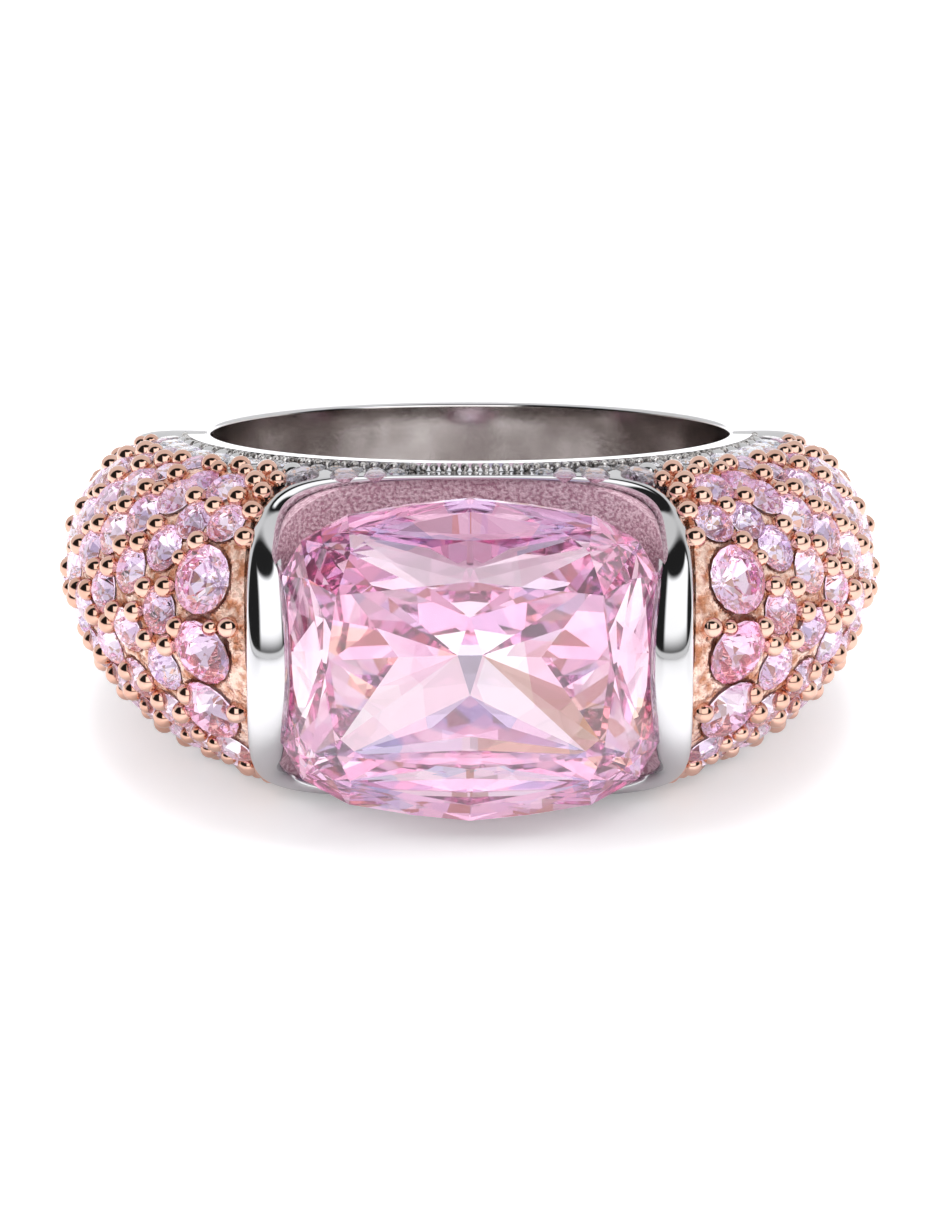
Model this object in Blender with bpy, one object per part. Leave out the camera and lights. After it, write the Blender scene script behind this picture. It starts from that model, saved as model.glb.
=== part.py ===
"""Cocktail ring lying on its side: tapered band, pave shoulders, cushion stone in an open bezel.

Ring coordinates: the finger axis is Z, the head with the large stone faces -Y, left and right are X.
Angles round the finger are measured from the head. A root empty then tips the whole ring by its
side taper, so that the lower side face lies flat on z = 0.
"""
import math

import bmesh
import bpy
from mathutils import Vector

mm = 0.001

# Band
fingerRadius = 8.65 * mm
sleeveWall = 0.80 * mm
halfWidthAtAxis = 4.35 * mm
sideTaper = math.radians(8.0)
backWall = 2.00 * mm
sideWall = 4.65 * mm
frontWall = 6.40 * mm
frontWallAngle = math.radians(28.0)
holeChamfer = 0.12 * mm
plateEndAngle = math.radians(99.0)

# Pave plates
plateSink = 0.30 * mm
plateStartAngle = math.radians(13.0)

# Head: the centre stone and its bezel
stoneLength = 12.10 * mm
stoneWidth = 10.70 * mm
cushionPower = 3.4
girdleStand = 4.05 * mm
girdleThickness = 0.24 * mm
crownHeight = 1.75 * mm
tableLength = 8.60 * mm
tableWidth = 5.60 * mm
culetStand = 0.30 * mm
keelLength = 2.00 * mm
wallBehindStone = 1.05 * mm
lipReach = 0.30 * mm
lipThickness = 0.30 * mm
lipHalfLength = 1.90 * mm
barCrest = 1.05 * mm
bombeDrop = 2.90 * mm
rimHeight = 0.05 * mm
rimStand = 0.50 * mm
rimWidth = 0.30 * mm
barEndHeight = 3.75 * mm
bezelPower = 5.0
troughStand = 0.30 * mm
seatDrop = 0.35 * mm
pavilionGap = 0.20 * mm
windowLength = 4.80 * mm
windowWidth = 3.70 * mm
windowPower = 3.0

# Pave stones and the play between fitted pieces
setGap = 0.05 * mm
firstColumn = 1.80 * mm
secondColumn = 3.80 * mm
columnPitch = 1.75 * mm
rowPitch = 0.235
firstRowPitch = 0.265
edgeRows = 0.66
largeStone = 1.75 * mm
smallStone = 1.25 * mm
edgeStone = 0.90 * mm
stoneSides = 8

sleeveRadius = fingerRadius + sleeveWall
plateInner = sleeveRadius + setGap
girdleDistance = fingerRadius + girdleStand
culetDistance = fingerRadius + culetStand
bezelHalfLength = stoneLength / 2 + setGap + wallBehindStone
bezelHalfWidth = stoneWidth / 2 + rimHeight
taperSlope = math.tan(sideTaper)


# Steps round the shapes
sectionSteps = 14
frontSteps = 30
backSteps = 22
outlineSteps = 96
windowSteps = 24


def clearScene():
    for item in list(bpy.data.objects):
        bpy.data.objects.remove(item, do_unlink=True)


def metal(name, colour, roughness):
    return surface(name, colour, roughness, 1.0)


def surface(name, colour, roughness, metallic):
    material = bpy.data.materials.new(name)
    material.use_nodes = True
    shader = material.node_tree.nodes["Principled BSDF"]
    shader.inputs["Base Color"].default_value = (*colour, 1.0)
    shader.inputs["Roughness"].default_value = roughness
    shader.inputs["Metallic"].default_value = metallic
    material.diffuse_color = (*colour, 1.0)
    return material


def superellipse(halfX, halfZ, power, angle):
    """Point of a squared-off oval in the direction of the angle; 0 is +X and a right angle +Z."""
    across, up = math.cos(angle), math.sin(angle)
    reach = (abs(across / halfX) ** power + abs(up / halfZ) ** power) ** (-1 / power)
    return Vector((reach * across, 0, reach * up))


def crestRadius(theta):
    """Outer radius of the domed band on its middle plane: back, side and front walls are met exactly."""
    frontCosine = math.cos(frontWallAngle)
    side = fingerRadius + sideWall
    back = backWall - sideWall
    front = frontWall - sideWall
    linear = (front - back * frontCosine**2) / (frontCosine + frontCosine**2)
    square = linear + back
    turn = math.cos(theta)
    return side + linear * turn + square * turn * turn


def domePoint(theta, lift, base, sink, drop):
    """Point of a domed section; lift runs from -90 to 90 degrees between the two side faces."""
    radius = base + (crestRadius(theta) - sink - base) * math.cos(lift)
    reach = halfWidthAtAxis + taperSlope * radius * math.cos(theta) - drop
    return Vector((radius * math.sin(theta), -radius * math.cos(theta), reach * math.sin(lift)))


def finish(name, mesh, material, root, smoothAngle):
    mesh.materials.append(material)
    mesh.shade_smooth()
    mesh.set_sharp_from_angle(angle=math.radians(smoothAngle))
    item = bpy.data.objects.new(name, mesh)
    bpy.context.scene.collection.objects.link(item)
    item.parent = root
    return item


def loft(name, loops, closed):
    """Skin a row of loops that all have the same number of points."""
    work = bmesh.new()
    rows = [[work.verts.new(point) for point in loop] for loop in loops]
    count = len(rows[0])
    pairs = list(zip(rows, rows[1:]))
    if closed:
        pairs.append((rows[-1], rows[0]))
    for first, second in pairs:
        for index in range(count):
            after = (index + 1) % count
            work.faces.new((first[index], first[after], second[after], second[index]))
    if not closed:
        work.faces.new(rows[0])
        work.faces.new(rows[-1])
    bmesh.ops.remove_doubles(work, verts=work.verts, dist=0.001 * mm)
    bmesh.ops.recalc_face_normals(work, faces=work.faces)
    mesh = bpy.data.meshes.new(name)
    work.to_mesh(mesh)
    work.free()
    return mesh


def cutWith(item, cutter):
    """Cut one shape out of another; neighbouring seats in one cutter may run into each other."""
    cutter.hide_render = True
    cutter.display_type = "WIRE"
    cut = item.modifiers.new("cut " + cutter.name, "BOOLEAN")
    cut.operation = "DIFFERENCE"
    cut.object = cutter
    cut.use_self = True


# --- Band ---------------------------------------------------------------------------------------

def sleeveWallPoints(theta):
    """Inner side of a band section, from its lower to its upper side face, with a chamfer at each."""
    points = []
    for side in (-1, 1):
        for radius, back in ((fingerRadius, holeChamfer), (fingerRadius + holeChamfer, 0.0)):
            height = halfWidthAtAxis + taperSlope * radius * math.cos(theta) - back
            points.append((radius, side * height))
    points[0], points[1] = points[1], points[0]
    return [Vector((r * math.sin(theta), -r * math.cos(theta), z)) for r, z in points]


def bandSection(theta, domed):
    loop = sleeveWallPoints(theta)
    for step in range(sectionSteps + 1):
        lift = math.pi / 2 - math.pi * step / sectionSteps
        if domed:
            loop.append(domePoint(theta, lift, sleeveRadius, 0.0, 0.0))
        else:
            reach = halfWidthAtAxis + taperSlope * sleeveRadius * math.cos(theta)
            x, y = sleeveRadius * math.sin(theta), -sleeveRadius * math.cos(theta)
            loop.append(Vector((x, y, reach * math.sin(lift))))
    return loop


def buildShank(root, material):
    """Whole band: a plain sleeve under the head and the plates, domed behind them."""
    loops = []
    for step in range(frontSteps + 1):
        theta = plateEndAngle * (2 * step / frontSteps - 1)
        loops.append(bandSection(theta, False))
    rest = 2 * math.pi - 2 * plateEndAngle
    for step in range(backSteps + 1):
        loops.append(bandSection(plateEndAngle + rest * step / backSteps, True))
    shank = finish("shank", loft("shank", loops, True), material, root, 35)
    outline = [windowEdge(2 * math.pi * step / windowSteps) for step in range(windowSteps)]
    cutWith(shank, prism("culet_window_cutter", outline, -girdleDistance, -0.7 * fingerRadius, root))


# --- Head ---------------------------------------------------------------------------------------

def windowEdge(angle):
    return superellipse(windowLength / 2, windowWidth / 2, windowPower, angle)


def prism(name, outline, front, back, root):
    """Straight bar along Y with the given outline, used as a cutter."""
    loops = [[Vector((p.x, y, p.z)) for p in outline] for y in (front, back)]
    item = bpy.data.objects.new(name, loft(name, loops, False))
    bpy.context.scene.collection.objects.link(item)
    item.parent = root
    return item


def bezelOuter(angle, grow=0.0):
    return superellipse(bezelHalfLength + grow, bezelHalfWidth + grow, bezelPower, angle)


def bezelFront(point):
    """How far in front of the finger axis the bezel's polished edge stands."""
    bar = girdleDistance + barCrest - bombeDrop * (point.z / bezelHalfWidth) ** 2
    rim = sleeveRadius + rimStand
    return rim + (bar - rim) * (abs(point.x) / bezelHalfLength) ** 5


def inward(angle):
    """Unit vector in the XZ plane from the bezel's outer edge towards the stone."""
    step = 0.002
    along = bezelOuter(angle + step) - bezelOuter(angle - step)
    return Vector((-along.z, 0, along.x)).normalized()


def seatReach(point):
    """Width of the bezel wall behind the stone's edge: full in the bars, thin across the middle."""
    share = (abs(point.x) / bezelHalfLength) ** 6
    return rimWidth + (wallBehindStone - rimWidth) * share


def bezelLip(point):
    """How far the lip laps over the crown: only beside the straight ends of the stone."""
    if abs(point.x) < stoneLength / 2 or abs(point.z) > lipHalfLength:
        return 0.0
    return (lipReach + setGap) * (1 - (point.z / lipHalfLength) ** 2)


def bandFace(x):
    """Distance in front of the finger axis at which a head piece meets the band's sleeve."""
    return math.sqrt(plateInner**2 - x**2)


def bezelSection(angle):
    """Section of the bezel: rounded polished front, lip over the crown, and a wall back to the band."""
    outer = bezelOuter(angle)
    into = inward(angle)
    front = bezelFront(outer)
    seat = seatReach(outer)
    width = seat + bezelLip(outer)
    outerDepth = front - bandFace(outer.x)
    seatDepth = front - bandFace((outer + into * seat).x)
    profile = [
        (0.0, outerDepth),
        (0.0, 0.30 * seat),
        (0.10 * width, 0.10 * seat),
        (0.35 * width, 0.0),
        (0.70 * width, 0.02 * seat),
        (0.95 * width, 0.12 * seat),
        (width, 0.5 * lipThickness * seat / wallBehindStone),
        (width, lipThickness * seat / wallBehindStone),
        (seat, lipThickness + 0.8 * (width - seat)),
        (seat, seatDepth),
    ]
    return [outer + into * across + Vector((0, behind - front, 0)) for across, behind in profile]


def buildBezel(root, material):
    """Two bars beside the stone, joined above and below by rims that thin towards the middle."""
    barEndShare = (barEndHeight / bezelHalfWidth) ** bezelPower
    corner = math.atan2(barEndHeight, bezelHalfLength * (1 - barEndShare) ** (1 / bezelPower))
    slack = setGap / bezelHalfWidth
    spans = {
        "bezel_bar_right": (-corner, corner),
        "bezel_rim_upper": (corner + slack, math.pi - corner - slack),
        "bezel_bar_left": (math.pi - corner, math.pi + corner),
        "bezel_rim_lower": (math.pi + corner + slack, 2 * math.pi - corner - slack),
    }
    for name, (start, end) in spans.items():
        steps = 22
        loops = [bezelSection(start + (end - start) * step / steps) for step in range(steps + 1)]
        finish(name, loft(name, loops, False), material, root, 40)


def galleryBoundary(angle):
    outer = bezelOuter(angle)
    return outer + inward(angle) * (seatReach(outer) + setGap)


def pavilionFront(point):
    """Distance of the stone's lower facets in front of the finger axis at a place in the XZ plane."""
    back = girdleDistance - girdleThickness / 2
    side = max(0.0, abs(point.x) - keelLength / 2) / (stoneLength / 2 - keelLength / 2)
    end = abs(point.z) / (stoneWidth / 2)
    share = min(1.0, (side**cushionPower + end**cushionPower) ** (1 / cushionPower))
    return culetDistance + (back - culetDistance) * share


def galleryFront(point):
    """The seat's frosted face: a trough that climbs to the girdle beside the bars."""
    trough = sleeveRadius + troughStand
    rise = girdleDistance - seatDrop - trough
    floor = trough + rise * (abs(point.x) / (stoneLength / 2 + setGap)) ** 4
    return min(floor, pavilionFront(point) - pavilionGap)


def buildGallery(root, material):
    """Frosted seat between the bars, hollowed for the pavilion and open under the culet."""
    steps = 48
    angles = [2 * math.pi * step / steps for step in range(steps)]
    edge = [galleryBoundary(angle) for angle in angles]
    hole = [windowEdge(angle) for angle in angles]
    shares = (0.0, 0.25, 0.5, 0.75, 1.0)
    loops = []
    for share in shares:
        ring = [inner.lerp(outer, share) for inner, outer in zip(hole, edge)]
        loops.append([Vector((p.x, -galleryFront(p), p.z)) for p in ring])
    for share in reversed(shares):
        ring = [inner.lerp(outer, share) for inner, outer in zip(hole, edge)]
        loops.append([Vector((p.x, -bandFace(p.x), p.z)) for p in ring])
    finish("gallery", loft("gallery", loops, True), material, root, 30)


def buildCentreStone(root, material):
    """Cushion cut: table, crown, thin girdle and a pavilion that closes in a short keel."""
    steps = 32
    angles = [2 * math.pi * step / steps for step in range(steps)]
    front = girdleDistance + girdleThickness / 2
    back = girdleDistance - girdleThickness / 2
    outline = [superellipse(stoneLength / 2, stoneWidth / 2, cushionPower, angle) for angle in angles]
    table = [superellipse(tableLength / 2, tableWidth / 2, 4.0, angle) for angle in angles]
    work = bmesh.new()
    rings = []
    for points, y in ((table, front + crownHeight), (outline, front), (outline, back)):
        rings.append([work.verts.new((p.x, -y, p.z)) for p in points])
    keel = [work.verts.new((side * keelLength / 2, -culetDistance, 0)) for side in (1, -1)]
    work.faces.new(rings[0])
    for first, second in zip(rings, rings[1:]):
        for index in range(steps):
            after = (index + 1) % steps
            work.faces.new((first[index], first[after], second[after], second[index]))
    for index in range(steps):
        after = (index + 1) % steps
        near = keel[0] if angles[index] < math.pi / 2 or angles[index] >= 1.5 * math.pi else keel[1]
        work.faces.new((rings[2][index], rings[2][after], near))
    top, bottom = rings[2][steps // 4], rings[2][3 * steps // 4]
    work.faces.new((top, keel[0], keel[1]))
    work.faces.new((bottom, keel[0], keel[1]))
    bmesh.ops.recalc_face_normals(work, faces=work.faces)
    mesh = bpy.data.meshes.new("centre_stone")
    work.to_mesh(mesh)
    work.free()
    finish("centre_stone", mesh, material, root, 1)


# --- Pave shoulders -----------------------------------------------------------------------------


def platePoint(side, theta, lift):
    point = domePoint(theta, lift, plateInner, plateSink, plateSink)
    return Vector((side * point.x, point.y, point.z))


def columnAngle(run, lift):
    """Angle round the finger of a column of stones that runs along beside the bar's outer face."""
    crest = fingerRadius + frontWall - plateSink
    radius = plateInner + (crest - plateInner) * math.cos(lift)
    return math.asin((bezelHalfLength + setGap) / radius) + run / crest


def stoneLayout():
    """Column, row, distance behind the bar, lift and diameter of the stones made as pieces here."""
    layout = []
    for column in range(4):
        run = secondColumn + columnPitch * (column - 1) if column else firstColumn
        pitch = rowPitch if column else firstRowPitch
        rows = {0: range(-3, 4), 1: range(-4, 4), 2: range(-3, 4), 3: range(-1, 1)}[column]
        for row in rows:
            share = pitch * (row if column % 2 == 0 else row + 0.5)
            size = edgeStone if abs(share) > edgeRows else smallStone
            if column == 0 and abs(row) < 2:
                size = largeStone
            layout.append((column, row, run, share * math.pi / 2, size))
    return layout


def stonePlace(side, run, lift):
    """Where a stone's girdle sits on the plate, and the way out of the plate there."""
    theta = columnAngle(run, lift)
    step = 0.002
    centre = platePoint(side, theta, lift)
    around = platePoint(side, theta + step, lift) - platePoint(side, theta - step, lift)
    along = platePoint(side, theta, lift + step) - platePoint(side, theta, lift - step)
    outward = around.cross(along) * side
    return centre, outward.normalized()


def stoneMesh(name, size):
    """Small brilliant: table, crown, girdle and a pointed pavilion, with its girdle top at z = 0."""
    half = size / 2
    work = bmesh.new()
    rings = []
    for radius, z in ((0.56 * half, 0.30 * half), (half, 0.0), (half, -0.08 * half)):
        points = []
        for step in range(stoneSides):
            angle = 2 * math.pi * step / stoneSides
            points.append(work.verts.new((radius * math.cos(angle), radius * math.sin(angle), z)))
        rings.append(points)
    point = work.verts.new((0, 0, -0.80 * half))
    work.faces.new(rings[0])
    for index in range(stoneSides):
        after = (index + 1) % stoneSides
        for first, second in zip(rings, rings[1:]):
            work.faces.new((first[index], first[after], second[after], second[index]))
        work.faces.new((rings[2][index], rings[2][after], point))
    bmesh.ops.recalc_face_normals(work, faces=work.faces)
    mesh = bpy.data.meshes.new(name)
    work.to_mesh(mesh)
    work.free()
    return mesh


def seatLoops(size):
    """Drilled seat: straight round the girdle, then a cone a little larger than the pavilion."""
    half = size / 2
    loops = []
    for radius, z in (
        (half + setGap, 0.5 * half),
        (half + setGap, -0.08 * half - setGap),
        (0.2 * half, -0.80 * half - 2 * setGap),
    ):
        loop = []
        for step in range(stoneSides):
            angle = 2 * math.pi * step / stoneSides
            loop.append(Vector((radius * math.cos(angle), radius * math.sin(angle), z)))
        loops.append(loop)
    return loops


def buildShoulder(name, side, root, gold, pink):
    """Domed plate with a drilled seat for each stone, and the stones in their seats."""
    steps, sections = 14, 18
    loops = []
    for section in range(sections + 1):
        end = plateEndAngle - setGap / plateInner
        theta = plateStartAngle + (end - plateStartAngle) * section / sections
        loop = []
        for step in range(steps + 1):
            loop.append(platePoint(side, theta, math.pi / 2 - math.pi * step / steps))
        loops.append(loop)
    plate = finish("shoulder_" + name, loft("shoulder_" + name, loops, False), gold, root, 40)
    turns = [2 * math.pi * step / outlineSteps for step in range(outlineSteps)]
    outline = [bezelOuter(turn, setGap) for turn in turns]
    head = prism("head_cutter_" + name, outline, -2 * girdleDistance, -0.2 * fingerRadius, root)
    cutWith(plate, head)
    seats = bpy.data.objects.new("seat_cutters_" + name, bpy.data.meshes.new("seat_cutters_" + name))
    bpy.context.scene.collection.objects.link(seats)
    seats.parent = root
    work = bmesh.new()
    for column, row, run, lift, size in stoneLayout():
        centre, outward = stonePlace(side, run, lift)
        turn = outward.to_track_quat("Z", "Y")
        seat = loft("seat", seatLoops(size), False)
        before = len(work.verts)
        work.from_mesh(seat)
        work.verts.ensure_lookup_table()
        for vertex in work.verts[before:]:
            vertex.co = centre + turn @ vertex.co
        bpy.data.meshes.remove(seat)
        stone = finish(f"pave_{name}_{column}_{row + 4}", stoneMesh("pave", size), pink, root, 1)
        stone.location = centre
        stone.rotation_euler = turn.to_euler()
    work.to_mesh(seats.data)
    work.free()
    cutWith(plate, seats)


def settle(root):
    """Tip the ring onto its lower side face and centre its footprint on the origin."""
    root.rotation_euler = (-sideTaper, 0, 0)
    root.location = (0, 0, halfWidthAtAxis * math.cos(sideTaper))
    bpy.context.view_layer.update()
    places = []
    for item in bpy.context.scene.objects:
        if item.type == "MESH" and not item.hide_render:
            places += [(item.matrix_world @ vertex.co).y for vertex in item.data.vertices]
    root.location.y = -(min(places) + max(places)) / 2


def build():
    clearScene()
    root = bpy.data.objects.new("ring", None)
    bpy.context.scene.collection.objects.link(root)
    whiteMetal = metal("white polished metal", (0.84, 0.84, 0.85), 0.08)
    frostedMetal = metal("frosted metal", (0.72, 0.58, 0.64), 0.45)
    roseGold = metal("rose gold", (0.90, 0.60, 0.46), 0.15)
    pinkStone = surface("pink centre stone", (0.92, 0.70, 0.83), 0.02, 0.0)
    pavePink = surface("pink pave stone", (0.88, 0.66, 0.80), 0.03, 0.0)
    buildShank(root, whiteMetal)
    buildBezel(root, whiteMetal)
    buildGallery(root, frostedMetal)
    buildCentreStone(root, pinkStone)
    buildShoulder("left", -1, root, roseGold, pavePink)
    buildShoulder("right", 1, root, roseGold, pavePink)
    settle(root)


build()
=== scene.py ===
import math

import bpy
import numpy as np
from mathutils import Matrix, Vector


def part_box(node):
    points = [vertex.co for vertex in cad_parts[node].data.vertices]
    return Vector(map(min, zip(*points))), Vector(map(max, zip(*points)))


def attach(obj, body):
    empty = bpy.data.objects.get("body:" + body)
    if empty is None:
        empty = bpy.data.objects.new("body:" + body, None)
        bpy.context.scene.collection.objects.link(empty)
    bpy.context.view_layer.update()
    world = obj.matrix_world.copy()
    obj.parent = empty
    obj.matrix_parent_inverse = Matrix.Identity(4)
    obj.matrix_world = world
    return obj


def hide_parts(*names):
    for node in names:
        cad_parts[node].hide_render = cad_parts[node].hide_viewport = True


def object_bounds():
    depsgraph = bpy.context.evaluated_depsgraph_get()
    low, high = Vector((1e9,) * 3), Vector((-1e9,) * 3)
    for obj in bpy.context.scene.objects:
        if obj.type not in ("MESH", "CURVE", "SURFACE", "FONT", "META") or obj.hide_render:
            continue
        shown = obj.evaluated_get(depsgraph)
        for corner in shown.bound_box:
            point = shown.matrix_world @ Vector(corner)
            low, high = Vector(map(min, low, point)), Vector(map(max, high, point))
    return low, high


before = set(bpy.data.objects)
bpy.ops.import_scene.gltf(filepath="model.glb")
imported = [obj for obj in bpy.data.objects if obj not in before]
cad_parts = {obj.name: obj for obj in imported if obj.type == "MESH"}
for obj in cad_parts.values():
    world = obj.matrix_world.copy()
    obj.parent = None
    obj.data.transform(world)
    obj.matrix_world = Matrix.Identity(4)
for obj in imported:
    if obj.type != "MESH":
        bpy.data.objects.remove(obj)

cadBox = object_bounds()
mm = 0.001
print("frame loaded, box", [round(v * 1000, 1) for corner in cadBox for v in corner])

# The band: the finger runs along Z, the head faces -Y, angles round the finger start at the head
band = {
    "finger": 8.65 * mm,
    "sleeve": 9.45 * mm,
    "halfWidth": 4.35 * mm,
    "taper": math.radians(8.0),
    "backWall": 2.00 * mm,
    "sideWall": 4.65 * mm,
    "frontWall": 6.40 * mm,
    "frontAngle": math.radians(28.0),
    "pocketEnd": math.radians(99.0),
    "pocketCorner": math.radians(15.0),
    "cornerPower": 6,
    "edgeRound": 0.13 * mm,
    "step": 0.26 * mm,
}
head = {
    "stoneLength": 12.10 * mm,
    "stoneWidth": 10.70 * mm,
    "girdle": 12.70 * mm,
    "tableFront": 14.57 * mm,
    "tableHalf": 2.80 * mm,
    "wall": 1.05 * mm,
    "gap": 0.05 * mm,
    "rimHeight": 0.05 * mm,
    "outlinePower": 6.0,
}
halfLength = head["stoneLength"] / 2 + head["gap"] + head["wall"]
halfHeight = head["stoneWidth"] / 2 + head["rimHeight"]
quarterTurn = math.pi / 2
weld = 0.001 * mm  # points nearer than this are one
nudge = 0.002  # a small angle on each side of a point, for its slope

# The ring lies on its lower side face, tipped by its own taper
tableDrop = head["tableFront"] * math.cos(band["taper"]) + head["tableHalf"] * math.sin(band["taper"])
ringHeight = band["halfWidth"] * math.cos(band["taper"])
lie = Matrix.Translation((0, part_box("centre_stone")[0][1] + tableDrop, ringHeight))
lie = lie @ Matrix.Rotation(-band["taper"], 4, "X")


def mix(a, b, share):
    return a + (b - a) * share


def smooth(low, high, value):
    share = min(1.0, max(0.0, (value - low) / (high - low)))
    return share * share * (3 - 2 * share)


# A socket that takes part in plain expressions
class Wire:
    def __init__(self, tree, socket=None):
        self.tree = tree
        self.socket = socket

    def node(self, kind, settings=None, sockets=None, out=0):
        made = self.tree.nodes.new(kind)
        for key, value in (settings or {}).items():
            if key == "stops":
                ramp = made.color_ramp
                ramp.interpolation = "CONSTANT"
                while len(ramp.elements) > 1:
                    ramp.elements.remove(ramp.elements[-1])
                ramp.elements[0].position = value[0][0]
                ramp.elements[0].color = value[0][1]
                for place, colour in value[1:]:
                    ramp.elements.new(place).color = colour
            else:
                setattr(made, key, value)
        for key, value in (sockets or {}).items():
            if isinstance(value, Wire):
                self.tree.links.new(value.socket, made.inputs[key])
            else:
                made.inputs[key].default_value = value
        return Wire(self.tree, made.outputs[out] if len(made.outputs) else None)

    def maths(self, operation, first, second):
        return self.node("ShaderNodeMath", {"operation": operation}, {0: first, 1: second})

    def __add__(self, other):
        return self.maths("ADD", self, other)

    def __radd__(self, other):
        return self.maths("ADD", other, self)

    def __sub__(self, other):
        return self.maths("SUBTRACT", self, other)

    def __rsub__(self, other):
        return self.maths("SUBTRACT", other, self)

    def __mul__(self, other):
        return self.maths("MULTIPLY", self, other)

    def __rmul__(self, other):
        return self.maths("MULTIPLY", other, self)

    def rise(self, low, high):
        sockets = {"Value": self, "From Min": low, "From Max": high}
        return self.node("ShaderNodeMapRange", {"interpolation_type": "SMOOTHSTEP"}, sockets)


def newMaterial(name):
    material = bpy.data.materials.new(name)
    material.use_nodes = True
    material.node_tree.nodes.clear()
    return material, Wire(material.node_tree)


def finishMaterial(wire, shader):
    wire.node("ShaderNodeOutputMaterial", None, {"Surface": shader})


def blendColours(wire, share, first, second):
    settings = {"data_type": "RGBA"}
    return wire.node("ShaderNodeMix", settings, {0: share, 6: first, 7: second}, out=2)


def objectPlace(wire):
    return wire.node("ShaderNodeTexCoord", out=3)


def noise(wire, scale, detail):
    sockets = {"Vector": objectPlace(wire), "Scale": scale, "Detail": detail, "Roughness": 0.5}
    return wire.node("ShaderNodeTexNoise", None, sockets)


def metalMaterial(name, look):
    material, wire = newMaterial(name)
    cloud = noise(wire, look["cloudScale"], 3.0)
    fine = noise(wire, look["grainScale"], 4.0)
    spread = fine if look.get("grainColour") else cloud
    colour = blendColours(wire, spread.rise(0.35, 0.65), (*look["dark"], 1), (*look["light"], 1))
    rough = look["rough"] + (cloud - 0.5) * look["roughChange"] + (fine - 0.5) * look["roughChange"]
    sockets = {"Strength": look["bump"], "Distance": look["bumpDepth"], "Height": fine}
    bump = wire.node("ShaderNodeBump", None, sockets)
    metallic = look.get("metallic", 1.0)
    sockets = {"Base Color": colour, "Metallic": metallic, "Roughness": rough, "Normal": bump}
    finishMaterial(wire, wire.node("ShaderNodeBsdfPrincipled", None, sockets))
    return material


whiteLook = {"dark": (0.64, 0.64, 0.65), "light": (0.72, 0.72, 0.74), "cloudScale": 180.0, "grainScale": 2600.0,
             "rough": 0.06, "roughChange": 0.04, "bump": 0.03, "bumpDepth": 0.00001}
satinLook = {"dark": (0.40, 0.36, 0.35), "light": (0.80, 0.77, 0.76), "cloudScale": 240.0, "grainScale": 5200.0,
             "rough": 0.14, "roughChange": 0.10, "bump": 0.15, "bumpDepth": 0.00002}
# the frosted seat's pink is a painted reflection of the pink stone above it; its paler and darker specks are the
# frosting's grain
frostedPinkReflectionLook = {"dark": (0.50, 0.26, 0.34), "light": (0.88, 0.64, 0.72), "cloudScale": 400.0, "grainScale": 8500.0,
             "rough": 0.34, "roughChange": 0.12, "bump": 1.0, "bumpDepth": 0.00012, "grainColour": True,
             "metallic": 0.35}
beadLook = {"dark": (0.74, 0.44, 0.34), "light": (0.84, 0.54, 0.44), "cloudScale": 300.0, "grainScale": 3000.0,
            "rough": 0.07, "roughChange": 0.05, "bump": 0.04, "bumpDepth": 0.00001}
plateLook = {"dark": (0.52, 0.21, 0.11), "light": (1.0, 0.74, 0.62), "cloudScale": 1500.0, "grainScale": 2600.0,
             "rough": 0.16, "roughChange": 0.16, "bump": 1.0, "bumpDepth": 0.00030, "grainColour": True,
             "metallic": 0.6}
ledgeLook = {"dark": (0.30, 0.28, 0.27), "light": (0.90, 0.88, 0.87), "cloudScale": 2200.0, "grainScale": 4200.0,
             "rough": 0.18, "roughChange": 0.14, "bump": 1.0, "bumpDepth": 0.00010, "grainColour": True}


def crownMaterial(name, look):
    material, wire = newMaterial(name)
    cloud = noise(wire, look["cloudScale"], 2.0)
    colour = blendColours(wire, cloud.rise(0.3, 0.7), (*look["deep"], 1), (*look["pale"], 1))
    sockets = {"Base Color": colour, "Roughness": 0.0, "IOR": look["ior"], "Transmission Weight": 1.0}
    finishMaterial(wire, wire.node("ShaderNodeBsdfPrincipled", None, sockets))
    return material


def facetMaterial(name, look, tintsAndPaintedLight):
    # the back facets send the light forward again as mirrors, broken into angular patches of the stone's tints
    # mixed with painted fire and painted dark and bright reflections
    material, wire = newMaterial(name)
    sockets = {"Vector": objectPlace(wire), "Scale": look["patchScale"]}
    patches = wire.node("ShaderNodeTexVoronoi", None, sockets, out=1)
    chance = wire.node("ShaderNodeSeparateColor", None, {0: patches})
    stops = [(place, (*tint, 1)) for place, tint in tintsAndPaintedLight]
    colour = wire.node("ShaderNodeValToRGB", {"stops": stops}, {0: chance})
    # the emission is a painted glow: each patch shines faintly in its own colour though it is no lamp
    sockets = {"Base Color": colour, "Metallic": 1.0, "Roughness": 0.02,
               "Emission Color": colour, "Emission Strength": look["glow"]}
    finishMaterial(wire, wire.node("ShaderNodeBsdfPrincipled", None, sockets))
    return material


# glow sets the strength of the back facets' painted glow
centreLook = {"deep": (0.97, 0.90, 0.95), "pale": (0.99, 0.95, 0.98), "cloudScale": 420.0,
              "ior": 2.0, "patchScale": 620.0, "glow": 0.03}
paveLook = {"deep": (0.95, 0.86, 0.95), "pale": (0.99, 0.95, 0.99), "cloudScale": 900.0,
            "ior": 1.6, "patchScale": 900.0, "glow": 0.05}
largeLook = {"deep": (0.97, 0.84, 0.92), "pale": (0.99, 0.93, 0.97), "cloudScale": 900.0,
             "ior": 1.6, "patchScale": 620.0, "glow": 0.05}
clearLook = {"deep": (0.96, 0.97, 0.99), "pale": (0.99, 0.99, 1.0), "cloudScale": 900.0,
             "ior": 1.8, "patchScale": 2600.0, "glow": 0.06}
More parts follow.
